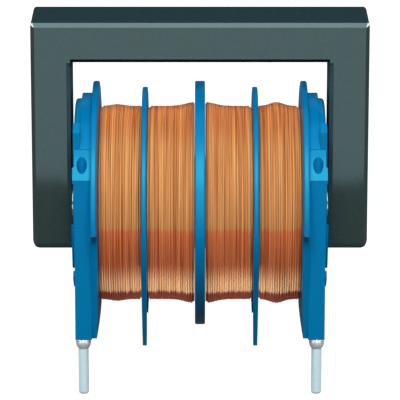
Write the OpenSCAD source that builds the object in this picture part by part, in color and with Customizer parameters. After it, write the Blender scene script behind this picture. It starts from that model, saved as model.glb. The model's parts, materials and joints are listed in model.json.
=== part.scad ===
// Power line choke for a circuit board. A closed ferrite core stands over two windings, which are
// wound on a former in two halves around the core's round lower leg. Four pins hold the former.
// +X runs along the coil axis, +Z is up. The origin is the centre of the pin pattern on the
// plane where the former's feet meet the board.

/* [Core] */
// Overall width of the core frame
core_w = 23.1; // [22:0.1:26]
// Overall height of the core frame
core_h = 16; // [15.5:0.1:19]
// Depth of the core frame from front to back
core_t = 5.6; // [5:0.1:7]
// Width of the side legs
core_leg = 2.7; // [2.3:0.05:3.3]
// Height of the top bar
core_bar = 2.75; // [2.3:0.05:3.3]
// Diameter of the round lower leg that carries the coils
leg_d = 4.7; // [4:0.1:5]
// Chamfer along the upper, side and window edges of the frame
core_chamfer = 0.27; // [0.1:0.01:0.4]
// Rounding of the frame's lower edges, front and back
core_low_edge = 0.52; // [0.3:0.02:0.8]
// Radius of the frame's two lower corners
core_foot_r = 0.66; // [0.3:0.02:1]
// Radius of the frame's two upper corners
core_top_r = 0.22; // [0.1:0.02:0.6]

/* [Former] */
// Radial room between the core's leg and the bore of the former
bore_gap = 0.25; // [0.15:0.01:0.4]
// Height at which the leg rests over the lowest line of the bore
rest_gap = 0.03; // [0.02:0.01:0.05]
// Wall of the tube that the wire is wound on
tube_wall = 0.6; // [0.4:0.05:0.9]
// Room between each end of the former and the core's side leg
end_gap = 0.11; // [0.05:0.01:0.3]
// Diameter of the middle disc and of the upper end flanges
disc_d = 16.98; // [15.6:0.02:17.4]
// Thickness of the middle disc
disc_t = 0.7; // [0.4:0.05:1.2]
// Diameter of the thin flanges inside each winding
thin_d = 16.14; // [15.2:0.02:16.8]
// Thickness of a thin flange at its rim
thin_t = 0.36; // [0.25:0.01:0.5]
// Distance of a thin flange from the middle of the former
thin_x = 3.81; // [3.3:0.01:4.2]
// Thickness of an end flange at its rim
end_t = 0.41; // [0.3:0.01:0.5]
// Draft of the end flanges' inner faces in degrees
draft = 2.4; // [0.5:0.1:3]
// Draft of the thin flanges' faces in degrees
thin_draft = 1.1; // [0.3:0.1:1.5]
// Diameter of the plate outside each end flange
hub_d = 15.32; // [14.8:0.02:15.8]
// Thickness of that plate
hub_t = 0.75; // [0.6:0.01:0.9]
// Diameter of the upper boss at each end
boss_d = 14.56; // [13.6:0.02:14.7]
// Thickness of the bosses
boss_t = 0.46; // [0.38:0.01:0.5]
// Diameter of the lower boss at each end
low_boss_d = 11.9; // [11:0.1:12.6]
// How far the arc ribs stand out from the rim of the lower boss
arc_rib_t = 0.13; // [0.08:0.01:0.16]
// Width of the arc ribs
arc_rib_w = 0.5; // [0.3:0.05:0.8]
// Angle of the upper arc ribs in degrees, measured down from the coil axis
arc_rib_turn = 33; // [20:1:38]
// Angle between the upper and the lower arc ribs in degrees
arc_rib_gap = 11; // [6:1:16]
// Angle of the lower arc ribs in degrees
low_rib_turn = 18; // [8:1:24]
// Rounding of the rims
rim_r = 0.1; // [0.05:0.01:0.12]
// Rounding of the bosses' outer edge
boss_round = 0.2; // [0.1:0.01:0.3]
// Room between the upper half and the posts of the lower half
fit_gap = 0.04; // [0.02:0.01:0.1]
// Width of the catch ribs at the front of the upper half
catch_w = 0.68; // [0.4:0.02:0.9]

/* [Feet] */
// Height of the coil axis over the board
seat_h = 8.75; // [8.72:0.01:9.4]
// Slant of the lower edges of the thin flanges in degrees
foot_slant = 21; // [16:1:26]
// Width of a foot of a thin flange
foot_w = 0.9; // [0.6:0.05:1.4]
// Width of the tooth between the wire slots of a thin flange
tooth_w = 1.4; // [0.8:0.1:2.4]
// Half width of the lower end flange at the level of the coil axis
skirt_top_y = 7.6; // [7.2:0.05:8]
// Half width of the lower end flange at its bottom edge
skirt_low_y = 6.5; // [6:0.05:6.8]
// Depth of a lead's notch in the lower edge of an end flange
notch_h = 1.45; // [1.2:0.05:1.6]
// Distance from the middle plane to the notch of the start lead
start_y = 2.75; // [2:0.05:3]
// Distance from the middle plane to the notch of the finish lead
finish_y = 4.35; // [3.6:0.05:4.4]

/* [Posts and pins] */
// Distance between the front and the rear pins
pitch_y = 12.5; // [12:0.1:13]
// Distance of a pin's axis from the end of the former
pin_inset = 0.74; // [0.7:0.01:0.8]
// Diameter of a pin
pin_d = 0.7; // [0.5:0.01:0.7]
// Radial room of a pin in its bore
pin_gap = 0.01; // [0.01:0.01:0.03]
// Thickness of the tin on the free length of a pin
tin_coat = 0.01; // [0.01:0.005:0.02]
// Rounding of a pin's tip
pin_tip = 0.16; // [0.05:0.01:0.2]
// Length of a pin below the board plane
pin_below = 3.1; // [2.4:0.1:4.5]
// Length of a pin inside its post
pin_hold = 7.8; // [4:0.1:9]
// Wall of a post outside its pin
post_wall = 0.18; // [0.12:0.01:0.22]
// Distance from a pin's axis to the outer face of its post, front or rear
post_out = 0.57; // [0.5:0.01:0.7]
// Distance from a pin's axis to the inner face of its post
post_in = 0.7; // [0.6:0.01:0.8]
// Height of the posts' lower faces over the board
post_clear = 0.91; // [0.8:0.01:1.2]
// How far the lip at the top of a post stands out
lip_out = 0.11; // [0.06:0.01:0.16]
// Width of this lip
lip_w = 0.46; // [0.3:0.02:0.6]
// Height of this lip below the top edge of the post
lip_h = 0.24; // [0.1:0.02:0.5]
// Diameter of the solder at a wrapped pin
solder_d = 1.04; // [0.95:0.01:1.1]
// Height of the solder below its post
solder_h = 0.65; // [0.5:0.01:0.7]
// How much slimmer the solder is at its lower end, on the radius
solder_sag = 0.09; // [0.02:0.01:0.12]

/* [Windings] */
// Mean outer diameter of the windings
coil_d = 13.46; // [12:0.02:13.8]
// Diameter of the enamelled wire
wire_d = 0.22; // [0.18:0.01:0.4]
// Room between the wire and the former
coil_gap = 0.03; // [0.02:0.01:0.05]
// Height of the humps that the last layer leaves
hump = 0.26; // [0:0.02:0.4]
// Room of a lead in its notch and of a crossing wire in its slot
wire_room = 0.08; // [0.05:0.01:0.15]

/* [Hidden] */
$fn = 96;

ferrite_colour = "#3c4c4f";
former_colour = "#0572ae";
copper_colour = "#c27a48";
tin_colour = "#c2d2da";
solder_colour = "#d8dcde";

// Steps of a rounded edge, and the overshoot of a cut
round_steps = 5;
over = 1;

// Core, measured from the coil axis. The frame reaches a little lower than its leg
leg_r = leg_d / 2;
bore_r = leg_r + bore_gap;
leg_z = rest_gap - bore_gap;
leg_lift = 0.02;
core_low = leg_z - leg_r - leg_lift;
core_high = core_low + core_h;
window_half = core_w / 2 - core_leg;
window_high = core_high - core_bar;

// Former, measured from the coil axis
tube_r = bore_r + tube_wall;
half_len = window_half - end_gap;
boss_end = half_len - arc_rib_t;
hub_out = boss_end - boss_t;
end_out = hub_out - hub_t;
disc_r = disc_d / 2;
thin_r = thin_d / 2;
hub_r = hub_d / 2;
boss_r = boss_d / 2;
low_boss_r = low_boss_d / 2;
post_low = post_clear - seat_h;
coil_r = coil_d / 2;
cross_r = coil_r - wire_d;
slot_r = cross_r - wire_d / 2 - wire_room;
lean = tan(draft);
thin_lean = tan(thin_draft);
catch_low = hub_r / 2;
reach = 2 * seat_h;

// Pins and posts
pin_r = pin_d / 2;
pin_x = half_len - pin_inset;
pin_y = pitch_y / 2;
bare_pin_r = pin_r - tin_coat;
pin_bore_r = bare_pin_r + pin_gap;
solder_low = post_clear - solder_h;
post_outer_x = pin_x + pin_bore_r + post_wall;
post_inner_y = pin_y - post_in;
post_outer_y = pin_y + post_out;
hub_half_y = post_inner_y - fit_gap;
lip_low = sqrt(pow(hub_r, 2) - pow(post_outer_y, 2)) - lip_h;

// Feet of the thin flanges: the edge leaves the rim along its tangent at the slant
foot_corner_y = (thin_r - seat_h * sin(foot_slant)) / cos(foot_slant);
slant_y = thin_r * cos(foot_slant);
slant_z = -thin_r * sin(foot_slant);
foot_far = norm([foot_corner_y, seat_h]) + rim_r;
skirt_far = norm([skirt_low_y, post_low]) + rim_r;

// Windings: height of the ridge of a turn, and the width of the inner section's hump as a share
ridge = 0.3 * wire_d;
inner_width = 0.28;

// Leads: places in the notch of the end flange and at the solder
notch_w = wire_d + 2 * wire_room;
notch_z = post_low + notch_h / 2;
elbow = 1.08;
lead_x = pin_x - wire_d / 4;
lead_low = post_low - solder_h / 2;

// Points along a round corner with its centre at (x, z), from angle a0 to a1
function arc(x, z, radius, a0, a1) = [
    for (i = [0:round_steps]) let (a = a0 + (a1 - a0) * i / round_steps)
        [x + radius * cos(a), z + radius * sin(a)]
];

// Half section of a disc from x0 to x1 at its rim, thicker by slope0 and slope1 at the tube,
// with its rim's edges rounded by round0 and round1
function disc_section(x0, x1, r, slope0, slope1, round0, round1) = concat(
    [[bore_r, x0 - slope0 * (r - bore_r)]],
    arc(r - round0, x0 + round0, round0, -90, 0),
    arc(r - round1, x1 - round1, round1, 0, 90),
    [[bore_r, x1 + slope1 * (r - bore_r)]]
);

// Turn a half section, drawn as (radius, x), about the coil axis
module turned() {
    rotate([0, 90, 0]) rotate_extrude() children();
}

// Keep what lies above or below the coil axis
module keep_half(up) {
    intersection() {
        children();
        translate([-core_w, -reach, up ? 0 : -reach]) cube([2 * core_w, 2 * reach, reach]);
    }
}

// Extrude an outline, drawn as (y, z), along X
module across(x0, x1) {
    translate([x0, 0, 0]) rotate([90, 0, 90]) linear_extrude(x1 - x0) children();
}

module both_ends() {
    children();
    mirror([1, 0, 0]) children();
}

module both_sides() {
    children();
    mirror([0, 1, 0]) children();
}

module at_axis() {
    translate([0, 0, seat_h]) children();
}

// The frame seen from the front, drawn as (x, z)
module frame_front() {
    side = core_w / 2;
    difference() {
        polygon(concat(
            arc(side - core_top_r, core_high - core_top_r, core_top_r, 0, 90),
            arc(core_top_r - side, core_high - core_top_r, core_top_r, 90, 180),
            arc(core_foot_r - side, core_low + core_foot_r, core_foot_r, 180, 270),
            arc(side - core_foot_r, core_low + core_foot_r, core_foot_r, 270, 360)
        ));
        translate([-window_half, core_low - over])
            square([2 * window_half, window_high - core_low + over]);
    }
}

// The frame seen from the end, drawn as (y, z), with chamfered top and rounded lower edges
module frame_end() {
    face = core_t / 2;
    polygon(concat(
        [[face, core_high - core_chamfer], [face - core_chamfer, core_high]],
        [[core_chamfer - face, core_high], [-face, core_high - core_chamfer]],
        arc(core_low_edge - face, core_low + core_low_edge, core_low_edge, 180, 270),
        arc(face - core_low_edge, core_low + core_low_edge, core_low_edge, 270, 360)
    ));
}

// The frame seen from above, drawn as (x, y), with chamfered corners
module frame_top() {
    side = core_w / 2;
    face = core_t / 2;
    polygon([for (m = [[1, -1], [1, 1], [-1, 1], [-1, -1]], k = [0, 1])
        let (first = (k == 0) == (m[0] * m[1] < 0))
        [m[0] * (side - (first ? core_chamfer : 0)), m[1] * (face - (first ? 0 : core_chamfer))]]);
}

// A square bar on its edge, which cuts a chamfer along Z
module chamfer_bar(length) {
    rotate([0, 0, 45]) cube([core_chamfer * sqrt(2), core_chamfer * sqrt(2), length], center = true);
}

module ferrite_core() {
    face = core_t / 2;
    color(ferrite_colour) at_axis() {
        difference() {
            intersection() {
                translate([0, face, 0]) rotate([90, 0, 0]) linear_extrude(core_t) frame_front();
                across(-core_w / 2, core_w / 2) frame_end();
                translate([0, 0, core_low - over]) linear_extrude(core_h + 2 * over) frame_top();
            }
            both_sides() {
                translate([0, face, window_high]) rotate([0, 90, 0]) chamfer_bar(2 * window_half);
                both_ends() translate([window_half, face, (core_low + window_high) / 2])
                    chamfer_bar(window_high - core_low);
            }
        }
        translate([-window_half - core_leg / 2, 0, leg_z]) rotate([0, 90, 0])
            cylinder(r = leg_r, h = 2 * window_half + core_leg);
    }
}

// The turned part of the former, alike above and below the coil axis
module turned_former() {
    turned() {
        translate([bore_r, -half_len]) square([tube_wall, 2 * half_len]);
        polygon(disc_section(-disc_t / 2, disc_t / 2, disc_r, 0, 0, rim_r, rim_r));
    }
}

module former_upper() {
    thin_half = thin_t / 2;
    color(former_colour) at_axis() {
        keep_half(true) {
            turned_former();
            both_ends() turned() {
                polygon(disc_section(
                    thin_x - thin_half, thin_x + thin_half, thin_r, thin_lean, thin_lean, rim_r, rim_r));
                polygon(disc_section(end_out - end_t, end_out, disc_r, lean, 0, rim_r, rim_r));
            }
        }
        both_ends() {
            intersection() {
                turned() {
                    translate([bore_r, end_out]) square([hub_r - bore_r, hub_t]);
                    polygon(disc_section(hub_out - rim_r, boss_end, boss_r, 0, 0, rim_r, boss_round));
                }
                translate([0, -hub_half_y, 0]) cube([core_w, 2 * hub_half_y, reach]);
            }
            intersection() {
                turned() translate([boss_r - catch_w, hub_out])
                    square([disc_r - boss_r + catch_w, boss_t]);
                translate([0, -hub_half_y, catch_low]) cube([core_w, catch_w, reach]);
            }
        }
    }
}

// Outline of a thin flange below the coil axis, with two feet, a tooth and two wire slots
module thin_outline() {
    difference() {
        union() {
            circle(r = thin_r);
            polygon([
                [slant_y, slant_z], [foot_corner_y, -seat_h], [-foot_corner_y, -seat_h],
                [-slant_y, slant_z]
            ]);
        }
        translate([-reach, 0]) square([2 * reach, reach]);
        difference() {
            polygon([
                [slant_y - foot_w, slant_z], [foot_corner_y - foot_w, -seat_h - over],
                [foot_w - foot_corner_y, -seat_h - over], [foot_w - slant_y, slant_z]
            ]);
            circle(r = slot_r);
            translate([-tooth_w / 2, post_low]) square([tooth_w, reach]);
        }
    }
}

// Outline of an end flange below the coil axis, with two notches for the leads
module skirt_outline() {
    difference() {
        polygon([
            [skirt_top_y, 0], [skirt_low_y, post_low], [-skirt_low_y, post_low], [-skirt_top_y, 0]
        ]);
        for (y = [start_y, finish_y]) {
            translate([y - notch_w / 2, post_low - over]) square([notch_w, over + notch_h]);
        }
    }
}

// A post: its lower part is square and rooted in the end flange, its top follows the end
// plate's rim and has a lip at its outer corner
module post() {
    post_len_y = post_outer_y - post_inner_y;
    post_len_x = post_outer_x - end_out;
    translate([end_out, post_inner_y, post_low]) cube([post_len_x, post_len_y, -post_low]);
    translate([end_out - end_t / 2, post_inner_y, post_low])
        cube([end_t, skirt_low_y - post_inner_y, -post_low]);
    intersection() {
        union() {
            translate([end_out + fit_gap, post_inner_y, 0]) cube([post_len_x - fit_gap, post_len_y, reach]);
            translate([end_out + fit_gap, post_outer_y - lip_w, lip_low])
                cube([post_len_x - fit_gap + lip_out, lip_w, reach]);
        }
        turned() translate([bore_r, end_out]) square([hub_r - bore_r, half_len - end_out]);
    }
}

// Half section of a flange that goes past its rim's radius r at the same lean, up to radius far
function flange_section(x0, x1, r, lean0, lean1, far) = [
    [bore_r, x0 - lean0 * (r - bore_r)], [far, x0 + lean0 * (far - r)],
    [far, x1 - lean1 * (far - r)], [bore_r, x1 + lean1 * (r - bore_r)]
];

// Outline between two angles below the coil axis
module wedge(a0, a1) {
    polygon([[0, 0], [reach * cos(a0), -reach * sin(a0)], [reach * cos(a1), -reach * sin(a1)]]);
}

// The lower boss with two arc ribs at the front and two at the rear
module lower_boss() {
    lower_start = arc_rib_turn + arc_rib_gap;
    keep_half(false) turned()
        polygon(disc_section(end_out, boss_end, low_boss_r, 0, 0, rim_r, rim_r));
    both_sides() intersection() {
        turned() translate([low_boss_r - arc_rib_w, hub_out]) square([arc_rib_w, half_len - hub_out]);
        across(hub_out, half_len) {
            wedge(0, arc_rib_turn);
            wedge(lower_start, lower_start + low_rib_turn);
        }
    }
}

module former_lower() {
    color(former_colour) at_axis() difference() {
        union() {
            keep_half(false) turned_former();
            both_ends() {
                intersection() {
                    turned() polygon(flange_section(
                        thin_x - thin_t / 2, thin_x + thin_t / 2, thin_r, thin_lean, thin_lean, foot_far));
                    across(0, core_w) thin_outline();
                }
                intersection() {
                    turned() polygon(flange_section(end_out - end_t, end_out, disc_r, lean, 0, skirt_far));
                    across(0, core_w) skirt_outline();
                }
                lower_boss();
                both_sides() post();
            }
        }
        both_ends() both_sides() translate([pin_x, pin_y, -reach])
            cylinder(r = pin_bore_r, h = 2 * reach, $fn = 48);
    }
}

// One straight piece of wire with a round end
module wire_piece(a, b) {
    run = b - a;
    length = norm(run);
    translate(a) {
        rotate([0, acos(run[2] / length), atan2(run[1], run[0])])
            cylinder(d = wire_d, h = length, $fn = 32);
        sphere(d = elbow * wire_d, $fn = 32);
    }
}

module wire_run(points) {
    for (i = [0:len(points) - 2]) wire_piece(points[i], points[i + 1]);
}

// Height of a hump of the last layer at share t of the section's width
function hump_at(t, middle, width) = hump * exp(-pow((t - middle) / width, 2));

// A section of a winding between two flange faces that lean by slope0 and slope1.
// x0 and x1 are the faces' places at the radius of the winding.
module coil_section(x0, x1, slope0, slope1, middle, width, share) {
    base = tube_r + coil_gap;
    left = x0 + coil_gap;
    right = x1 - coil_gap;
    turns = floor((right - left) / wire_d);
    pitch = (right - left) / turns;
    valley = coil_r - ridge;
    bump = [[0, 0], [0.22, 0.75], [0.5, 1], [0.78, 0.75]];
    turned() polygon(concat(
        [[base, left + slope0 * (coil_r - base)]],
        [for (i = [0:turns - 1], p = bump)
            let (x = left + (i + p[0]) * pitch, t = (i + 0.5) / turns)
            [valley + ridge * p[1] + share * hump_at(t, middle, width), x]],
        [[valley + share * hump_at(1, middle, width), right]],
        [[base, right - slope1 * (coil_r - base)]]
    ));
}

// The inner section, the outer section, the wire that crosses between them in a slot of the thin
// flange, and the leads, which leave through the notches of the end flange. The outer section's
// hump has its middle, width and height given as shares.
module winding(outer_middle, outer_width, outer_share) {
    thin_face = thin_t / 2 + thin_lean * (thin_r - coil_r);
    end_face = end_out - end_t - lean * (disc_r - coil_r);
    buried = 2 * wire_d;
    drop_x = end_face - buried;
    cross_z = -sqrt(pow(cross_r, 2) - pow(finish_y, 2));
    start_z = -sqrt(pow(coil_r - buried, 2) - pow(start_y, 2));
    finish_z = -sqrt(pow(coil_r - buried, 2) - pow(finish_y, 2));
    coil_section(disc_t / 2, thin_x - thin_face, 0, thin_lean, 0, inner_width, 1);
    coil_section(thin_x + thin_face, end_face, thin_lean, lean, outer_middle, outer_width, outer_share);
    wire_run([
        [thin_x - thin_face - buried, finish_y, cross_z],
        [thin_x + thin_face + buried, finish_y, cross_z]
    ]);
    wire_run([
        [drop_x, finish_y, finish_z],
        [drop_x, finish_y, notch_z],
        [end_out + wire_d, finish_y, notch_z],
        [lead_x, post_inner_y - wire_d, lead_low],
        [lead_x, pin_y - solder_d / 2, lead_low]
    ]);
    wire_run([
        [drop_x, start_y, start_z],
        [drop_x, start_y, notch_z],
        [end_out + wire_d, start_y, notch_z],
        [lead_x, 0, lead_low],
        [lead_x, solder_d / 2 - pin_y, lead_low]
    ]);
}

module winding_left() {
    color(copper_colour) at_axis() mirror([1, 0, 0]) winding(0.6, 0.2, 0.45);
}

module winding_right() {
    color(copper_colour) at_axis() winding(0.45, 0.22, 1);
}

// A round pin with a rounded tip, tinned up to the solder and bare inside the post
module pin(side_x, side_y) {
    low = -pin_below;
    high = post_clear + pin_hold;
    color(tin_colour) translate([side_x * pin_x, side_y * pin_y, 0])
    rotate_extrude($fn = 48) polygon(concat(
        [[0, low]],
        arc(pin_r - pin_tip, low + pin_tip, pin_tip, -90, 0),
        [[pin_r, solder_low], [bare_pin_r, solder_low], [bare_pin_r, high], [0, high]]
    ));
}

// The solder that covers the wrapped end of a lead, up against its post
module solder(side_x, side_y) {
    widest = 0.55;
    color(solder_colour) translate([side_x * pin_x, side_y * pin_y, 0])
    rotate_extrude($fn = 48) polygon(concat(
        [[pin_bore_r, solder_low]],
        [for (i = [0:round_steps]) let (t = i / round_steps)
            [solder_d / 2 - solder_sag * pow(t / widest - 1, 2), solder_low + t * solder_h]],
        [[pin_bore_r, post_clear]]
    ));
}

module pin_front_left() { pin(-1, -1); }
module pin_front_right() { pin(1, -1); }
module pin_rear_left() { pin(-1, 1); }
module pin_rear_right() { pin(1, 1); }
module solder_front_left() { solder(-1, -1); }
module solder_front_right() { solder(1, -1); }
module solder_rear_left() { solder(-1, 1); }
module solder_rear_right() { solder(1, 1); }

ferrite_core();
former_upper();
former_lower();
winding_left();
winding_right();
pin_front_left();
pin_front_right();
pin_rear_left();
pin_rear_right();
solder_front_left();
solder_front_right();
solder_rear_left();
solder_rear_right();
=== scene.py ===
"""Dresses a power line choke: a ferrite frame, a blue coil former, copper windings and pins.

Lengths in the dataclasses are in millimetres and turn to metres where a mesh is made.
"""
import json
import logging
import math
import random
from dataclasses import dataclass, field
from enum import Enum

import bpy
import numpy as np
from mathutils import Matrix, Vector

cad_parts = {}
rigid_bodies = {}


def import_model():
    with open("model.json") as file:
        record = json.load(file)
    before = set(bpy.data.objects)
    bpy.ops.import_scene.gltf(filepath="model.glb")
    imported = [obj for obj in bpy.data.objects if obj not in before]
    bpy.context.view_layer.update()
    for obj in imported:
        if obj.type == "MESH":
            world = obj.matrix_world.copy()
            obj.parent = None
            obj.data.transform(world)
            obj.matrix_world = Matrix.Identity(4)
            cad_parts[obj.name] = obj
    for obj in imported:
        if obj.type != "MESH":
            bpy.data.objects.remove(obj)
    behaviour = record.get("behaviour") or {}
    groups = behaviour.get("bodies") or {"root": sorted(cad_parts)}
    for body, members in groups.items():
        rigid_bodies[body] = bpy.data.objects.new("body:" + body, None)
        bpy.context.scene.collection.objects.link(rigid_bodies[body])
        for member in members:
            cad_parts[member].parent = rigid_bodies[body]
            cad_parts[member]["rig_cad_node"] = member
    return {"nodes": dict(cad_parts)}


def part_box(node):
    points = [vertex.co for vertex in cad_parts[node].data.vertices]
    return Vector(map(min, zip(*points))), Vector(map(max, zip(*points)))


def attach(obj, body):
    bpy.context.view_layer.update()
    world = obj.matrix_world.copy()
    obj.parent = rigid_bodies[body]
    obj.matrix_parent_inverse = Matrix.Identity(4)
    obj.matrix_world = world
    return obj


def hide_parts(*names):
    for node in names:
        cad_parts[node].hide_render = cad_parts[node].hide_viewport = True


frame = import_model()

Place = tuple[float, float, float]
Colour = tuple[float, float, float, float]

MM = 0.001
MERGE_MM = 0.0002
FLAT_DEGREES = 0.2
LOG = logging.getLogger("choke")
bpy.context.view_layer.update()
# The former's halves meet on the coil's axis
AXIS_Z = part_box("former_upper")[0].z
AXIS = Vector((0.0, 0.0, AXIS_Z))


class Side(Enum):
    """The two halves of the choke along the coil axis."""

    LEFT = -1
    RIGHT = 1


class Row(Enum):
    """The two rows of pins."""

    FRONT = -1
    REAR = 1


def linear(code: str) -> Colour:
    """Turn an sRGB hex colour to linear.

    Args:
        code: colour as #RRGGBB.

    Returns:
        Red, green, blue and alpha.
    """
    parts = [int(code[i:i + 2], 16) / 255 for i in (1, 3, 5)]
    channels = [c / 12.92 if c <= 0.04045 else ((c + 0.055) / 1.055) ** 2.4 for c in parts]
    return channels[0], channels[1], channels[2], 1.0


def add_node(
    tree: bpy.types.NodeTree, kind: str, inputs: dict | None = None, **settings: object
) -> bpy.types.Node:
    """Add a node with its settings and links.

    Args:
        tree: node tree that gets the node.
        kind: class name of the node.
        inputs: a value or an output socket for each input, by name or number.
        settings: properties of the node itself.

    Returns:
        The new node.
    """
    node = tree.nodes.new(kind)
    for key, value in settings.items():
        setattr(node, key, value)
    for key, value in (inputs or {}).items():
        if isinstance(value, bpy.types.NodeSocket):
            tree.links.new(value, node.inputs[key])
        else:
            node.inputs[key].default_value = value
    return node


def new_material(name: str) -> tuple[bpy.types.Material, bpy.types.NodeTree]:
    """Make an empty node material.

    Args:
        name: name of the material.

    Returns:
        The material and its node tree.
    """
    material = bpy.data.materials.new(name)
    material.use_nodes = True
    material.node_tree.nodes.clear()
    return material, material.node_tree


def deselect_all() -> None:
    """Leave edit mode and deselect every object."""
    if bpy.context.object and bpy.context.object.mode != "OBJECT":
        bpy.ops.object.mode_set(mode="OBJECT")
    bpy.ops.object.select_all(action="DESELECT")


def pick(piece: bpy.types.Object) -> None:
    """Select one piece alone and make it the active one.

    Args:
        piece: the piece.
    """
    deselect_all()
    piece.select_set(True)
    bpy.context.view_layer.objects.active = piece


def apply_modifiers(piece: bpy.types.Object) -> None:
    """Apply all modifiers of a piece in their order.

    Args:
        piece: the piece.
    """
    pick(piece)
    for modifier in list(piece.modifiers):
        bpy.ops.object.modifier_apply(modifier=modifier.name)


def place_in_mesh(piece: bpy.types.Object) -> None:
    """Move a piece's place, turn and scale into its mesh.

    Args:
        piece: the piece.
    """
    pick(piece)
    bpy.ops.object.transform_apply(location=True, rotation=True, scale=True)


def join(pieces: list[bpy.types.Object], name: str) -> bpy.types.Object:
    """Join objects into one piece.

    Args:
        pieces: objects to join; the first one keeps its origin.
        name: name of the piece.

    Returns:
        The joined piece.
    """
    deselect_all()
    for piece in pieces:
        piece.select_set(True)
    bpy.context.view_layer.objects.active = pieces[0]
    if len(pieces) > 1:
        bpy.ops.object.join()
    pieces[0].name = name
    pieces[0].data.name = name
    return pieces[0]


def lathe(name: str, profile: list[tuple[float, float]], sides: int) -> bpy.types.Object:
    """Turn a closed body about the X axis by extruding and scaling one circle.

    Args:
        name: name of the object.
        profile: distance along the axis and radius of each ring, in mm.
        sides: number of sides of the rings.

    Returns:
        The turned body, with its axis on the world's X axis.
    """
    deselect_all()
    first_x, first_r = profile[0]
    bpy.ops.mesh.primitive_circle_add(
        vertices=sides, radius=first_r * MM, fill_type="NGON",
        location=(first_x * MM, 0, 0), rotation=(0, math.pi / 2, 0))
    body = bpy.context.object
    place_in_mesh(body)
    bpy.ops.object.mode_set(mode="EDIT")
    bpy.ops.mesh.select_all(action="SELECT")
    for (x_old, r_old), (x_new, r_new) in zip(profile, profile[1:]):
        bpy.ops.mesh.extrude_region_move(
            TRANSFORM_OT_translate={"value": ((x_new - x_old) * MM, 0, 0)})
        ratio = r_new / r_old
        bpy.ops.transform.resize(value=(1, ratio, ratio), center_override=(x_new * MM, 0, 0))
    bpy.ops.mesh.select_all(action="SELECT")
    bpy.ops.mesh.normals_make_consistent(inside=False)
    bpy.ops.object.mode_set(mode="OBJECT")
    body.name = name
    return body


def wire_path(name: str, points: list[Place], wire: float) -> bpy.types.Object:
    """Lay a wire along a smooth route.

    Args:
        name: name of the object.
        points: route in mm, in the part's frame.
        wire: diameter of the wire in mm.

    Returns:
        The wire as a mesh.
    """
    deselect_all()
    bpy.ops.curve.primitive_nurbs_path_add()
    curve = bpy.context.object
    spline = curve.data.splines[0]
    spline.points.add(len(points) - len(spline.points))
    for point, place in zip(spline.points, points):
        point.co = (*[value * MM for value in place], 1.0)
    spline.order_u = 3
    spline.use_endpoint_u = True
    spline.resolution_u = 8
    curve.data.dimensions = "3D"
    curve.data.bevel_depth = wire / 2 * MM
    curve.data.bevel_resolution = 3
    curve.data.use_fill_caps = True
    pick(curve)
    bpy.ops.object.convert(target="MESH")
    piece = bpy.context.object
    place_in_mesh(piece)
    piece.name = name
    return piece


def dress(piece: bpy.types.Object, *materials: bpy.types.Material) -> None:
    """Give a piece its materials, in the order of its slots.

    Args:
        piece: the piece.
        materials: its materials.
    """
    piece.data.materials.clear()
    for material in materials:
        piece.data.materials.append(material)


def smooth(piece: bpy.types.Object, degrees: float) -> None:
    """Shade a piece smooth, apart from its sharp edges.

    Args:
        piece: the piece.
        degrees: angle from which an edge is sharp.
    """
    pick(piece)
    bpy.ops.object.shade_smooth_by_angle(angle=math.radians(degrees))


def copy_of_node(name: str) -> bpy.types.Object:
    """Copy a CAD node, drop its stored normals, and merge its loose triangles into whole faces.

    Args:
        name: name of the CAD node.

    Returns:
        The copy, which stands for the node once it is seated.
    """
    pick(frame["nodes"][name])
    bpy.ops.object.duplicate()
    piece = bpy.context.object
    piece.name = name + "_body"
    del piece["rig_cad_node"]
    if piece.data.has_custom_normals:
        bpy.ops.mesh.customdata_custom_splitnormals_clear()
    bpy.ops.object.mode_set(mode="EDIT")
    bpy.ops.mesh.select_all(action="SELECT")
    bpy.ops.mesh.remove_doubles(threshold=MERGE_MM * MM)
    bpy.ops.mesh.dissolve_limited(angle_limit=math.radians(FLAT_DEGREES))
    bpy.ops.object.mode_set(mode="OBJECT")
    return piece


def seat(piece: bpy.types.Object, slot: str, *nodes: str) -> None:
    """Let a new piece ride on the choke in place of its CAD nodes.

    Args:
        piece: the new piece.
        slot: name of its material slot; not used.
        nodes: names of the CAD nodes.
    """
    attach(piece, "root")
    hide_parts(*nodes)
    faces = len(piece.data.polygons)
    LOG.info("%s: %d faces, in place of %s", piece.name, faces, ", ".join(nodes))


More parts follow.
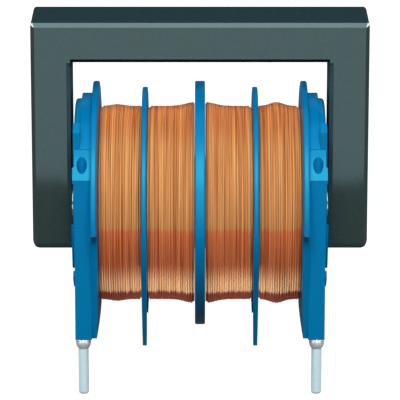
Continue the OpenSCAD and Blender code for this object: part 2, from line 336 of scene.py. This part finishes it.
@dataclass(frozen=True)
class SinteredFerrite:
    """Sintered manganese zinc ferrite, ground: a hard grey-green ceramic with a cool, even gloss.

    Its grains are too fine to show, so the mottling is drawn coarser than they are.
    """

    name: str = "sintered_ferrite"
    body: str = "#35453F"
    speck: str = "#2E3E3A"
    gloss: Colour = (0.6, 0.9, 1.0, 1.0)
    ior: float = 1.8
    specular: float = 0.5
    roughness: float = 0.1
    grain_mm: float = 0.16
    grain_low: float = 0.35
    grain_high: float = 0.65
    relief: float = 0.03
    relief_mm: float = 0.02

    def make(self) -> bpy.types.Material:
        """Build the material.

        Returns:
            The material.
        """
        material, tree = new_material(self.name)
        place = add_node(tree, "ShaderNodeTexCoord").outputs["Object"]
        # Pressed powder leaves a faint mottling
        grain = add_node(tree, "ShaderNodeTexNoise", {
            "Vector": place, "Scale": 1 / (self.grain_mm * MM), "Detail": 4.0, "Roughness": 0.6})
        spread = add_node(tree, "ShaderNodeMapRange", {
            "Value": grain.outputs["Fac"], "From Min": self.grain_low,
            "From Max": self.grain_high})
        colour = add_node(tree, "ShaderNodeMix", {
            "Factor": spread.outputs["Result"], "A": linear(self.speck), "B": linear(self.body)},
            data_type="RGBA")
        relief = add_node(tree, "ShaderNodeBump", {
            "Height": grain.outputs["Fac"], "Strength": self.relief,
            "Distance": self.relief_mm * MM})
        shader = add_node(tree, "ShaderNodeBsdfPrincipled", {
            "Base Color": colour.outputs["Result"], "Roughness": self.roughness, "IOR": self.ior,
            "Specular IOR Level": self.specular, "Specular Tint": self.gloss,
            "Normal": relief.outputs["Normal"]})
        add_node(tree, "ShaderNodeOutputMaterial", {"Surface": shader.outputs["BSDF"]})
        return material


@dataclass(frozen=True)
class FiredFerrite(SinteredFerrite):
    """Ferrite as it came from the kiln, unground: matt, and darker on the top face."""

    name: str = "fired_ferrite_skin"
    body: str = "#22363B"
    speck: str = "#1D3034"
    specular: float = 0.0
    roughness: float = 0.8


@dataclass(frozen=True)
class MouldedBluePlastic:
    """Injection moulded polyamide, dyed through: deep blue with a soft cyan sheen."""

    body: str = "#007EBB"
    deep: str = "#0079B3"
    gloss: Colour = (0.12, 1.0, 1.0, 1.0)
    specular: float = 0.5
    roughness: float = 0.4
    flow_mm: float = 1.4
    skin_mm: float = 0.09
    relief: float = 0.05
    relief_mm: float = 0.02

    def make(self) -> bpy.types.Material:
        """Build the material.

        Returns:
            The material.
        """
        material, tree = new_material("moulded_blue_polyamide")
        place = add_node(tree, "ShaderNodeTexCoord").outputs["Object"]
        # Slow flow marks of the melt, and a very fine skin relief that softens the gloss
        flow = add_node(tree, "ShaderNodeTexNoise", {
            "Vector": place, "Scale": 1 / (self.flow_mm * MM), "Detail": 2.0})
        colour = add_node(tree, "ShaderNodeMix", {
            "Factor": flow.outputs["Fac"], "A": linear(self.deep), "B": linear(self.body)},
            data_type="RGBA")
        skin = add_node(tree, "ShaderNodeTexNoise", {
            "Vector": place, "Scale": 1 / (self.skin_mm * MM), "Detail": 2.0})
        relief = add_node(tree, "ShaderNodeBump", {
            "Height": skin.outputs["Fac"], "Strength": self.relief,
            "Distance": self.relief_mm * MM})
        shader = add_node(tree, "ShaderNodeBsdfPrincipled", {
            "Base Color": colour.outputs["Result"], "Roughness": self.roughness,
            "Specular IOR Level": self.specular, "Specular Tint": self.gloss,
            "Normal": relief.outputs["Normal"]})
        add_node(tree, "ShaderNodeOutputMaterial", {"Surface": shader.outputs["BSDF"]})
        return material


@dataclass(frozen=True)
class EnamelledCopper:
    """Copper wire under clear enamel, with light and shade painted into it in bands by height.

    Below the coil's axis the wire is painted redder and darker, as painted shade; near the
    bottom a pale band is a painted reflection of light from below, and a brown edge under it
    is painted shade. Near its top the wire is painted redder too, for how light falls there.
    Each band gives two tones, for the streaks of the turns. The enamel hides most of the
    metal's mirror, so little of it is metallic.
    """

    # Bands by height: a painted redder top, the wire's own tones, painted shade below the axis, a
    # pale painted reflection near the bottom and a painted dark edge under it
    top_painted_tones: tuple[str, str] = ("#B6582A", "#FFAA66")
    wire_tones: tuple[str, str] = ("#B26434", "#F8B874")
    painted_shade_tones: tuple[str, str] = ("#B84F28", "#FF9A62")
    painted_bounce_tones: tuple[str, str] = ("#D88A58", "#FFCB90")
    painted_dark_edge_tones: tuple[str, str] = ("#7C3018", "#9A4022")
    top_painted_from_mm: float = 5.9
    top_painted_fade_mm: float = 0.8
    edge_fade_mm: float = 0.12
    painted_shade_low_mm: float = 3.4
    painted_shade_fade_mm: float = 0.7
    painted_bounce_low_mm: float = 5.12
    metallic: float = 0.16
    roughness: float = 0.35
    specular: float = 0.1
    streak_mm: float = 0.08
    streak_long_mm: float = 10.0
    streak_low: float = 0.33
    streak_high: float = 0.67
    ragged_mm: float = 0.9

    def make(self) -> bpy.types.Material:
        """Build the material.

        Returns:
            The material.
        """
        material, tree = new_material("enamelled_copper_wire")
        place = add_node(tree, "ShaderNodeTexCoord").outputs["Object"]
        # Tone runs along each wire, so the noise is narrow across the turns and long around them
        across, around = 1 / (self.streak_mm * MM), 1 / (self.streak_long_mm * MM)
        turned = add_node(tree, "ShaderNodeMapping", {
            "Vector": place, "Scale": (across, around, around)})
        streak = add_node(tree, "ShaderNodeTexNoise", {
            "Vector": turned.outputs["Vector"], "Scale": 1.0, "Detail": 3.0, "Roughness": 0.6})
        spread = add_node(tree, "ShaderNodeMapRange", {
            "Value": streak.outputs["Fac"], "From Min": self.streak_low,
            "From Max": self.streak_high})
        # The edges of the painted light and shade bands are ragged by the same streaks
        height = add_node(tree, "ShaderNodeSeparateXYZ", {"Vector": place})
        ragged_height = add_node(tree, "ShaderNodeMath", {
            0: streak.outputs["Fac"], 1: self.ragged_mm * MM, 2: height.outputs["Z"]},
            operation="MULTIPLY_ADD")
        line = AXIS_Z + self.ragged_mm * MM / 2
        colour = None
        # Each band paints light or shade into the wire's colour by height, from the bottom up
        for tones, edge, fade in (
            (self.painted_dark_edge_tones, 0.0, 0.0),
            (self.painted_bounce_tones, -self.painted_bounce_low_mm, self.edge_fade_mm),
            (self.painted_shade_tones, -self.painted_shade_low_mm, self.painted_shade_fade_mm),
            (self.wire_tones, 0.0, self.edge_fade_mm),
            (self.top_painted_tones, self.top_painted_from_mm, self.top_painted_fade_mm),
        ):
            tone = add_node(tree, "ShaderNodeMix", {
                "Factor": spread.outputs["Result"], "A": linear(tones[0]), "B": linear(tones[1])},
                data_type="RGBA").outputs["Result"]
            if colour is None:
                colour = tone
                continue
            above = add_node(tree, "ShaderNodeMapRange", {
                "Value": ragged_height.outputs[0], "From Min": line + (edge - fade) * MM,
                "From Max": line + (edge + fade) * MM})
            colour = add_node(tree, "ShaderNodeMix", {
                "Factor": above.outputs["Result"], "A": colour, "B": tone},
                data_type="RGBA").outputs["Result"]
        shader = add_node(tree, "ShaderNodeBsdfPrincipled", {
            "Base Color": colour, "Metallic": self.metallic, "Roughness": self.roughness,
            "Specular IOR Level": self.specular})
        add_node(tree, "ShaderNodeOutputMaterial", {"Surface": shader.outputs["BSDF"]})
        return material


@dataclass(frozen=True)
class TinnedSteel:
    """Drawn steel with a satin coat of tin: pale, cool and softly streaked along the pin."""

    body: str = "#DFF6FD"
    shade: str = "#CFECF4"
    metallic: float = 0.1
    roughness: float = 0.45
    streak_mm: float = 0.12
    stretch: float = 0.08

    def make(self) -> bpy.types.Material:
        """Build the material.

        Returns:
            The material.
        """
        material, tree = new_material("tinned_steel")
        place = add_node(tree, "ShaderNodeTexCoord").outputs["Object"]
        drawn = add_node(tree, "ShaderNodeMapping", {
            "Vector": place, "Scale": (1.0, 1.0, self.stretch)})
        streak = add_node(tree, "ShaderNodeTexNoise", {
            "Vector": drawn.outputs["Vector"], "Scale": 1 / (self.streak_mm * MM), "Detail": 3.0})
        colour = add_node(tree, "ShaderNodeMix", {
            "Factor": streak.outputs["Fac"], "A": linear(self.shade), "B": linear(self.body)},
            data_type="RGBA")
        shader = add_node(tree, "ShaderNodeBsdfPrincipled", {
            "Base Color": colour.outputs["Result"], "Metallic": self.metallic,
            "Roughness": self.roughness})
        add_node(tree, "ShaderNodeOutputMaterial", {"Surface": shader.outputs["BSDF"]})
        return material


@dataclass(frozen=True)
class BrightSolder:
    """Tin solder, frozen from the bath: bright, lumpy and mirror-like in spots."""

    body: str = "#FFFFFF"
    shade: str = "#CFDDE3"
    metallic: float = 0.4
    roughness: float = 0.22
    ripple_mm: float = 0.3
    relief: float = 0.3
    relief_mm: float = 0.05

    def make(self) -> bpy.types.Material:
        """Build the material.

        Returns:
            The material.
        """
        material, tree = new_material("bright_tin_solder")
        place = add_node(tree, "ShaderNodeTexCoord").outputs["Object"]
        ripple = add_node(tree, "ShaderNodeTexNoise", {
            "Vector": place, "Scale": 1 / (self.ripple_mm * MM), "Detail": 2.0})
        colour = add_node(tree, "ShaderNodeMix", {
            "Factor": ripple.outputs["Fac"], "A": linear(self.shade), "B": linear(self.body)},
            data_type="RGBA")
        relief = add_node(tree, "ShaderNodeBump", {
            "Height": ripple.outputs["Fac"], "Strength": self.relief,
            "Distance": self.relief_mm * MM})
        shader = add_node(tree, "ShaderNodeBsdfPrincipled", {
            "Base Color": colour.outputs["Result"], "Metallic": self.metallic,
            "Roughness": self.roughness, "Normal": relief.outputs["Normal"]})
        add_node(tree, "ShaderNodeOutputMaterial", {"Surface": shader.outputs["BSDF"]})
        return material


@dataclass(frozen=True)
class StudioFloor:
    """Pale studio floor: white to the camera, apart from the object's soft shadow.

    In gloss alone it glows, as a painted reflection: dim within a circle that reaches from
    just in front of the choke to far behind it, and white beyond.
    """

    pale: str = "#7A7A7A"
    bounce: str = "#343434"
    lift: float = 0.92
    card: float = 0.11
    dim_gloss_r: float = 238.1
    dim_gloss_middle: Place = (0.0, 200.0, 0.0)
    dim_gloss_soft_mm: float = 1.0

    def make(self) -> bpy.types.Material:
        """Build the material.

        Returns:
            The material.
        """
        material, tree = new_material("pale_studio_floor")
        ray = add_node(tree, "ShaderNodeLightPath")
        colour = add_node(tree, "ShaderNodeMix", {
            "Factor": ray.outputs["Is Camera Ray"], "A": linear(self.bounce),
            "B": linear(self.pale)}, data_type="RGBA")
        matte = add_node(tree, "ShaderNodeBsdfDiffuse", {"Color": colour.outputs["Result"]})
        place = add_node(tree, "ShaderNodeTexCoord").outputs["Object"]
        # In gloss alone the floor glows dim within the circle and white beyond it: a painted
        # reflection
        reach = add_node(tree, "ShaderNodeVectorMath", {
            0: place, 1: [value * MM for value in self.dim_gloss_middle]}, operation="DISTANCE")
        paper = add_node(tree, "ShaderNodeMapRange", {
            "Value": reach.outputs["Value"], "From Min": (self.dim_gloss_r - self.dim_gloss_soft_mm) * MM,
            "From Max": (self.dim_gloss_r + self.dim_gloss_soft_mm) * MM, "To Min": self.card})
        mirrored = add_node(tree, "ShaderNodeMath", {
            0: ray.outputs["Is Glossy Ray"], 1: paper.outputs["Result"]}, operation="MULTIPLY")
        glow = add_node(tree, "ShaderNodeMath", {
            0: ray.outputs["Is Camera Ray"], 1: self.lift, 2: mirrored.outputs[0]},
            operation="MULTIPLY_ADD")
        light = add_node(tree, "ShaderNodeEmission", {"Strength": glow.outputs[0]})
        both = add_node(tree, "ShaderNodeAddShader", {0: matte.outputs[0], 1: light.outputs[0]})
        add_node(tree, "ShaderNodeOutputMaterial", {"Surface": both.outputs[0]})
        return material


@dataclass
class Core:
    """The closed ferrite frame, ground but for its top face and the inside of its window.
    The window's left and right sides are painted lighter, as painted light in its shade.

    Its lengths are in mm. The nick is the cutting plane's distance from the part's origin.
    Its faces are sorted by their normals: level ones on top, upright ones that look sideways
    into the window, and overhead ones that look down from its upper side.
    """

    node: str = "ferrite_core"
    bar: float = 2.75
    window_half: float = 9.2
    nick: float = 20.76
    near: float = 0.01
    level: float = 0.9
    upright: float = 0.6
    overhead: float = -0.5
    sharp_degrees: float = 24

    def nick_corner(self, side: int, end: int) -> None:
        """Grind the point off one upper corner, where the chamfers meet.

        Args:
            side: 1 for the right side of the core, -1 for the left.
            end: 1 for the rear, -1 for the front.
        """
        way = Vector((side, end, 1)).normalized()
        bpy.ops.object.mode_set(mode="EDIT")
        bpy.ops.mesh.select_all(action="SELECT")
        bpy.ops.mesh.bisect(
            plane_co=way * self.nick * MM, plane_no=way, use_fill=True, clear_outer=True)
        bpy.ops.object.mode_set(mode="OBJECT")

    def make(
        self, ground: bpy.types.Material, fired: bpy.types.Material,
        window_side_painted_lighter: bpy.types.Material
    ) -> bpy.types.Object:
        """Build the core's visible body.

        Args:
            ground: finish of the sides.
            fired: finish of the top face and of the window's upper side.
            window_side_painted_lighter: finish of the window's left and right sides and their
                chamfers, painted lighter to lift their shade.

        Returns:
            The piece, in its place.
        """
        piece = copy_of_node(self.node)
        for side in (-1, 1):
            for end in (-1, 1):
                self.nick_corner(side, end)
        dress(piece, ground, fired, window_side_painted_lighter)
        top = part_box(self.node)[1].z
        window = top - self.bar * MM
        near = self.near * MM
        for face in piece.data.polygons:
            on_top = face.normal.z > self.level and face.center.z > top - near
            in_window = (
                abs(face.center.x) < self.window_half * MM and abs(face.normal.x) > self.upright)
            over_window = face.normal.z < self.overhead and face.center.z > window - near
            # Slot 2, on the window's sides, is the lighter copy that paints light into their shade
            face.material_index = 2 if in_window else 1 if on_top or over_window else 0
        smooth(piece, self.sharp_degrees)
        seat(piece, "ferrite", self.node)
        return piece


@dataclass
class Strand:
    """The layer of wire that shows in a section of a winding, laid a little unevenly."""

    x_low: float
    x_high: float
    radius: float
    wire: float
    pitch: float
    seed: int
    hump: float
    hump_middle: float
    hump_width: float
    flat: float = 0.3
    steps: int = 96
    sides: int = 10
    sway: float = 0.1
    lift_share: float = 0.25
    edge_share: float = 0.125
    wave_count: int = 7
    wave_lobes: tuple[int, ...] = (0, 1, 1, 2, 3)
    waves: list[tuple[float, float, int, float]] = field(default_factory=list)

    def __post_init__(self) -> None:
        """Draw the waves of the uneven lay: size, speed, lobes round the coil, and phase."""
        draw = random.Random(self.seed)
        self.waves = [
            (draw.uniform(0.5, 1.0), draw.uniform(0.6, 3.0), draw.choice(self.wave_lobes),
             draw.uniform(0, math.tau))
            for _ in range(self.wave_count)
        ]

    def wander(self, turn: np.ndarray, angle: np.ndarray, part: int) -> np.ndarray:
        """Smooth unevenness between about -1 and 1.

        Args:
            turn: count of turns from the start.
            angle: angle round the coil.
            part: which of the waves' parts to use, 0 or 1.

        Returns:
            One value for each place.
        """
        total = np.zeros_like(turn)
        for size, speed, lobes, phase in self.waves[part::2]:
            total += size * np.sin(speed * turn + lobes * angle + phase)
        return total / 2

    def make(self, name: str) -> bpy.types.Object:
        """Wind the wire: a circle turned round the coil's axis by a screw modifier.

        Args:
            name: name of the object.

        Returns:
            The strand, its axis on the world's X axis.
        """
        room = self.x_high - self.x_low - self.wire
        turns = round(room / self.pitch)
        first = self.x_low + self.wire / 2
        deselect_all()
        # The wire's ends lie at the rear of the coil
        bpy.ops.mesh.primitive_circle_add(
            vertices=self.sides, radius=self.wire / 2 * MM, scale=(1, self.flat, 1),
            location=(first * MM, self.radius * MM, 0))
        strand = bpy.context.object
        place_in_mesh(strand)
        screw = strand.modifiers.new("wind", "SCREW")
        screw.axis = "X"
        screw.angle = math.tau * turns
        screw.screw_offset = room * MM
        screw.steps = round(self.steps * turns)
        screw.render_steps = screw.steps
        screw.use_smooth_shade = True
        apply_modifiers(strand)
        self.lay(strand, turns)
        bpy.ops.object.mode_set(mode="EDIT")
        bpy.ops.mesh.select_all(action="SELECT")
        bpy.ops.mesh.fill_holes(sides=self.sides)
        bpy.ops.mesh.select_all(action="SELECT")
        bpy.ops.mesh.normals_make_consistent(inside=False)
        bpy.ops.object.mode_set(mode="OBJECT")
        strand.name = name
        return strand

    def lay(self, strand: bpy.types.Object, turns: float) -> None:
        """Move each ring of the strand to its uneven place, over the hump.

        Args:
            strand: the wound wire.
            turns: count of its turns.
        """
        mesh = strand.data
        points = np.zeros(len(mesh.vertices) * 3, np.float64)
        mesh.vertices.foreach_get("co", points)
        rings = points.reshape(-1, self.sides, 3)
        middles = rings.mean(axis=1)
        out = middles * (0.0, 1.0, 1.0)
        out /= np.linalg.norm(out, axis=1)[:, None]
        turn = np.linspace(0, turns, len(rings))
        angle = np.arctan2(middles[:, 2], middles[:, 1])
        span = self.x_high - self.x_low
        share = (middles[:, 0] / MM - self.x_low) / span
        # The turns next to the flanges lie straight
        edge = np.clip(np.minimum(share, 1 - share) / self.edge_share, 0, 1)
        side = self.sway * self.pitch * self.wander(turn, angle, 0) * edge
        rise = self.hump * np.exp(-((share - self.hump_middle) / self.hump_width) ** 2)
        rise += self.lift_share * self.sway * self.wire * self.wander(turn, angle, 1)
        along = side[:, None, None] * (1.0, 0.0, 0.0)
        moved = rings + (along + (rise[:, None] * out)[:, None, :]) * MM
        mesh.vertices.foreach_set("co", moved.reshape(-1))
        mesh.update()


@dataclass
class Winding:
    """One winding: an inner and an outer section of wire, and the two leads to its pins.

    The turns lie closer than the wire is thick, so that their lines are as fine as the
    photo's. Only the outer layer is wound, on a body that stands for the layers below.
    """

    side: Side
    hump_middle: float
    hump_width: float
    hump_share: float
    seed: int
    coil_r: float = 6.73
    wire: float = 0.22
    lay: float = 0.165
    disc_face: float = 0.38
    thin_x: float = 3.81
    thin_face: float = 0.236
    end_face: float = 6.886
    inner_width: float = 0.28
    hump: float = 0.26
    under_share: float = 0.42
    over_share: float = 0.36
    stations: int = 8
    body_sides: int = 96
    seed_step: int = 7
    lead_lean: float = 0.3
    start_y: float = 2.75
    finish_y: float = 4.35
    notch_z: float = -7.115
    flange_x: float = 7.4
    lead_x: float = 7.945
    lead_z: float = -8.165
    pin_y: float = 6.25

    def section(
        self, name: str, low: float, high: float, seed: int, middle: float, width: float,
        share: float
    ) -> list[bpy.types.Object]:
        """Wind one section: the body of the lower layers and the layer that shows.

        Args:
            name: name of the section.
            low: face of the flange at the section's inner side.
            high: face of the flange at its outer side.
            seed: seed of its unevenness.
            middle: place of its hump as a share of its width.
            width: width of the hump as a share.
            share: height of the hump as a share of the highest one.

        Returns:
            The section's objects.
        """
        hump = share * self.hump
        under = self.coil_r - self.under_share * self.wire
        profile = []
        for i in range(self.stations + 1):
            part = i / self.stations
            rise = hump * math.exp(-((part - middle) / width) ** 2)
            profile.append((low + (high - low) * i / self.stations, under + rise))
        body = lathe(name + "_body", profile, self.body_sides)
        strand = Strand(
            low, high, self.coil_r - self.over_share * self.wire, self.wire, self.lay,
            seed, hump, middle, width)
        return [body, strand.make(name + "_strand")]

    def leads(self, label: str) -> list[bpy.types.Object]:
        """Lay the start and finish leads from the outer section through their notches to the pins.

        Args:
            label: name of the winding.

        Returns:
            The two leads.
        """
        drop_x = self.end_face - 2 * self.wire
        bend = self.wire
        ends = (("start", self.start_y, -self.pin_y), ("finish", self.finish_y, self.pin_y))
        leads = []
        for name, notch_y, pin_y in ends:
            top_z = -math.sqrt((self.coil_r - 2 * self.wire) ** 2 - notch_y ** 2)
            route = [
                (drop_x, notch_y, top_z), (drop_x, notch_y, self.notch_z + bend),
                (drop_x, notch_y, self.notch_z), (drop_x + bend, notch_y, self.notch_z),
                (self.flange_x + self.wire, notch_y, self.notch_z),
                (self.lead_x, notch_y + (pin_y - notch_y) * self.lead_lean, self.lead_z),
                (self.lead_x, pin_y, self.lead_z),
            ]
            leads.append(wire_path(f"{label}_{name}", route, self.wire))
        return leads

    def make(self, copper: bpy.types.Material) -> bpy.types.Object:
        """Build the winding as one piece.

        Args:
            copper: material of the wire.

        Returns:
            The piece, in its place.
        """
        label = "winding_" + self.side.name.lower()
        parts = self.section(
            label + "_inner", self.disc_face, self.thin_x - self.thin_face,
            self.seed, 0.0, self.inner_width, 1.0)
        parts += self.section(
            label + "_outer", self.thin_x + self.thin_face, self.end_face,
            self.seed + self.seed_step, self.hump_middle, self.hump_width, self.hump_share)
        parts += self.leads(label)
        piece = join(parts, label + "_wire")
        if self.side is Side.LEFT:
            pick(piece)
            bpy.ops.object.mode_set(mode="EDIT")
            bpy.ops.mesh.select_all(action="SELECT")
            bpy.ops.transform.mirror(
                constraint_axis=(True, False, False), center_override=(0, 0, 0))
            bpy.ops.mesh.flip_normals()
            bpy.ops.object.mode_set(mode="OBJECT")
        piece.location = AXIS
        place_in_mesh(piece)
        dress(piece, copper)
        seat(piece, "copper", label)
        return piece


@dataclass(frozen=True)
class SoftBox:
    """Square soft box that faces the coil.

    Its place and the length of its edge are in mm. Its radiance is that of its face, where 1
    is white.
    """

    name: str
    place: Place
    size: float
    radiance: float

    def make(self) -> bpy.types.Object:
        """Add the lamp.

        Returns:
            The lamp.
        """
        deselect_all()
        bpy.ops.object.light_add(type="AREA", location=[value * MM for value in self.place])
        lamp = bpy.context.object
        lamp.name = self.name
        lamp.data.size = self.size * MM
        lamp.data.energy = self.radiance * math.pi * (self.size * MM) ** 2
        lamp.rotation_euler = (AXIS - lamp.location).to_track_quat("-Z", "Y").to_euler()
        return lamp


@dataclass
class Studio:
    """Camera, lamps, world and floor of the plain studio.

    Its lengths are in mm. The sky's soft light comes up between two heights of the ray's
    direction, just round the horizon.
    """

    camera_place: Place = (0.0, -224.31, 73.08)
    target: Place = (0.0, 0.0, 8.926)
    lens: float = 301.06
    sensor: float = 36
    clip: tuple[float, float] = (10.0, 10_000.0)
    floor_r: float = 200.0
    floor_sides: int = 128
    floor_z: float = -3.1
    sky: float = 0.12
    sky_low: float = -0.1
    sky_high: float = 0.1
    card_place: Place = (0.0, 250.0, 140.0)
    card_width: float = 900.0
    card_height: float = 160.0
    card_felt: str = "#101010"
    key_place: Place = (0.0, -320.0, 340.0)
    key_size: float = 255.0
    key_radiance: float = 10.4
    low_box: SoftBox = SoftBox("low_gloss_box", (0.0, -430.0, 100.0), 120.0, 7.5)
    paper_y: float = -5.0
    paper_lift: float = 0.4
    paper_size: tuple[float, float] = (14.0, 6.0)
    paper_radiance: float = 2.9
    glints: tuple[SoftBox, ...] = (
        SoftBox("glint_on_the_top_chamfer", (0.0, -125.0, 440.0), 130.0, 1.6),
        SoftBox("glint_on_the_left_corner", (-374.0, 58.0, 250.0), 240.0, 9.0),
        SoftBox("glint_on_the_right_corner", (374.0, 58.0, 250.0), 240.0, 9.0),
    )
    fills: tuple[SoftBox, ...] = (
        SoftBox("rear_fill", (0.0, 350.0, 290.0), 200.0, 9.0),
        SoftBox("left_fill", (-390.0, 210.0, 90.0), 200.0, 9.0),
        SoftBox("right_fill", (390.0, 210.0, 90.0), 200.0, 9.0),
    )
    tin_fills: tuple[SoftBox, ...] = (
        SoftBox("left_fill_on_the_tin", (-330.0, -240.0, 30.0), 200.0, 2.3),
        SoftBox("right_fill_on_the_tin", (330.0, -240.0, 30.0), 200.0, 2.3),
    )

    def flag(self) -> None:
        """Stand a black card behind and above, seen in gloss alone, as behind the real choke."""
        deselect_all()
        bpy.ops.mesh.primitive_plane_add(
            size=1, location=[value * MM for value in self.card_place],
            rotation=(math.pi / 2, 0, 0),
            scale=(self.card_width * MM, self.card_height * MM, 1))
        card = bpy.context.object
        place_in_mesh(card)
        card.name = "black_card"
        material, tree = new_material("black_card_felt")
        felt = add_node(tree, "ShaderNodeBsdfDiffuse", {"Color": linear(self.card_felt)})
        add_node(tree, "ShaderNodeOutputMaterial", {"Surface": felt.outputs[0]})
        dress(card, material)
        card.visible_camera = False
        card.visible_diffuse = False
        card.visible_shadow = False

    def link(self, lamp: bpy.types.Object, pieces: list[bpy.types.Object], state: str) -> None:
        """Let a lamp light some pieces alone, or all but them.

        Args:
            lamp: the lamp.
            pieces: the pieces.
            state: INCLUDE or EXCLUDE.
        """
        group = bpy.data.collections.new(lamp.name + "_receivers")
        for piece in pieces:
            group.objects.link(piece)
        for entry in group.collection_objects:
            entry.light_linking.link_state = state
        lamp.light_linking.receiver_collection = group

    def key(self, name: str) -> bpy.types.Object:
        """Add one of the two key boxes, which hang in the same place.

        Args:
            name: name of the lamp.

        Returns:
            The lamp.
        """
        return SoftBox(name, self.key_place, self.key_size, self.key_radiance).make()

    def paper(self) -> bpy.types.Object:
        """Lay a lit sheet low under the coil, for the light that white paper throws up at it.

        Returns:
            The lamp.
        """
        place = (0.0, self.paper_y, self.floor_z + self.paper_lift)
        width, depth = (value * MM for value in self.paper_size)
        paper = SoftBox("paper_under_the_wires", place, 1.0, 1.0).make()
        paper.data.shape = "RECTANGLE"
        paper.data.size, paper.data.size_y = width, depth
        paper.data.energy = self.paper_radiance * math.pi * width * depth
        paper.rotation_euler = (math.pi, 0, 0)
        paper.visible_camera = False
        return paper

    def light(
        self, core: bpy.types.Object, wires: list[bpy.types.Object],
        tin: list[bpy.types.Object]
    ) -> None:
        """Set up the lamps.

        The key lights everything, but the wires don't mirror it, so they have a key box of
        their own in the same place. The fills light the sides and the rear and aren't mirrored.

        Args:
            core: the ferrite core, whose chamfers mirror small boxes of their own.
            wires: the windings, which the paper under them lights from below.
            tin: the pins and their solder, which low boxes at the front brighten.
        """
        for box in self.tin_fills:
            self.link(box.make(), tin, "INCLUDE")
        for box in self.glints:
            glint = box.make()
            glint.visible_diffuse = False
            self.link(glint, [core], "INCLUDE")
        for box in self.fills:
            box.make().visible_glossy = False
        mirrored = self.key("key_soft_box")
        low = self.low_box.make()
        low.visible_diffuse = False
        matt = self.key("key_soft_box_on_wires")
        matt.visible_glossy = False
        paper = self.paper()
        for lamp in (mirrored, low):
            self.link(lamp, wires, "EXCLUDE")
        for lamp in (matt, paper):
            self.link(lamp, wires, "INCLUDE")

    def make(self) -> None:
        """Set up the camera, the world, the black card and the floor."""
        scene = bpy.context.scene
        scene.view_settings.view_transform = "Standard"
        deselect_all()
        bpy.ops.object.camera_add(location=[value * MM for value in self.camera_place])
        camera = bpy.context.object
        camera.rotation_euler = (
            Vector(self.target) * MM - camera.location).to_track_quat("-Z", "Y").to_euler()
        camera.data.lens = self.lens
        camera.data.sensor_width = self.sensor
        camera.data.clip_start, camera.data.clip_end = (value * MM for value in self.clip)
        scene.camera = camera
        self.world(scene)
        self.flag()
        deselect_all()
        bpy.ops.mesh.primitive_circle_add(
            vertices=self.floor_sides, radius=self.floor_r * MM, fill_type="NGON",
            location=(0, 0, self.floor_z * MM))
        floor = bpy.context.object
        place_in_mesh(floor)
        floor.name = "studio_floor"
        dress(floor, StudioFloor().make())

    def world(self, scene: bpy.types.Scene) -> None:
        """Light the world softly, and show it white to the camera and in gloss.

        Args:
            scene: the scene that gets the world.
        """
        world = bpy.data.worlds.new("soft_white_studio")
        scene.world = world
        world.use_nodes = True
        tree = world.node_tree
        tree.nodes.clear()
        ray = add_node(tree, "ShaderNodeLightPath")
        clear = add_node(tree, "ShaderNodeMath", {
            0: ray.outputs["Is Camera Ray"], 1: ray.outputs["Is Glossy Ray"]}, operation="MAXIMUM")
        seen = add_node(tree, "ShaderNodeMath", {
            0: clear.outputs[0], 1: ray.outputs["Is Transmission Ray"]}, operation="MAXIMUM")
        sight = add_node(tree, "ShaderNodeTexCoord").outputs["Generated"]
        height = add_node(tree, "ShaderNodeSeparateXYZ", {"Vector": sight})
        sky = add_node(tree, "ShaderNodeMapRange", {
            "Value": height.outputs["Z"], "From Min": self.sky_low, "From Max": self.sky_high,
            "To Max": self.sky})
        soft = add_node(tree, "ShaderNodeMath", {
            0: seen.outputs[0], 1: sky.outputs["Result"]}, operation="MAXIMUM")
        light = add_node(tree, "ShaderNodeBackground", {
            "Color": (1, 1, 1, 1), "Strength": soft.outputs[0]})
        add_node(tree, "ShaderNodeOutputWorld", {"Surface": light.outputs[0]})


def main() -> None:
    """Build the studio and dress the choke."""
    logging.basicConfig(level=logging.INFO, format="%(name)s: %(message)s")
    studio = Studio()
    studio.make()
    nodes = frame["nodes"]
    ferrite = SinteredFerrite().make()
    blue = MouldedBluePlastic().make()
    copper = EnamelledCopper().make()
    tin = TinnedSteel().make()
    solder = BrightSolder().make()
    # The window's sides get a lighter copy of the fired ferrite: painted light against the shade
    # in the window
    window_side_painted_lighter = FiredFerrite(
        name="fired_ferrite_window", body="#435C60", speck="#3C5458").make()
    core = Core().make(ferrite, FiredFerrite().make(), window_side_painted_lighter)
    for name in ("former_upper", "former_lower"):
        dress(nodes[name], blue)
    left = Winding(
        Side.LEFT, hump_middle=0.6, hump_width=0.2, hump_share=0.45, seed=107).make(copper)
    right = Winding(
        Side.RIGHT, hump_middle=0.45, hump_width=0.22, hump_share=1.0, seed=127).make(copper)
    tinned = []
    for row in Row:
        for side in Side:
            end = f"{row.name.lower()}_{side.name.lower()}"
            dress(nodes["pin_" + end], tin)
            dress(nodes["solder_" + end], solder)
            tinned += [nodes["pin_" + end], nodes["solder_" + end]]
    studio.light(core, [left, right], tinned)


if __name__ == "__main__":
    main()
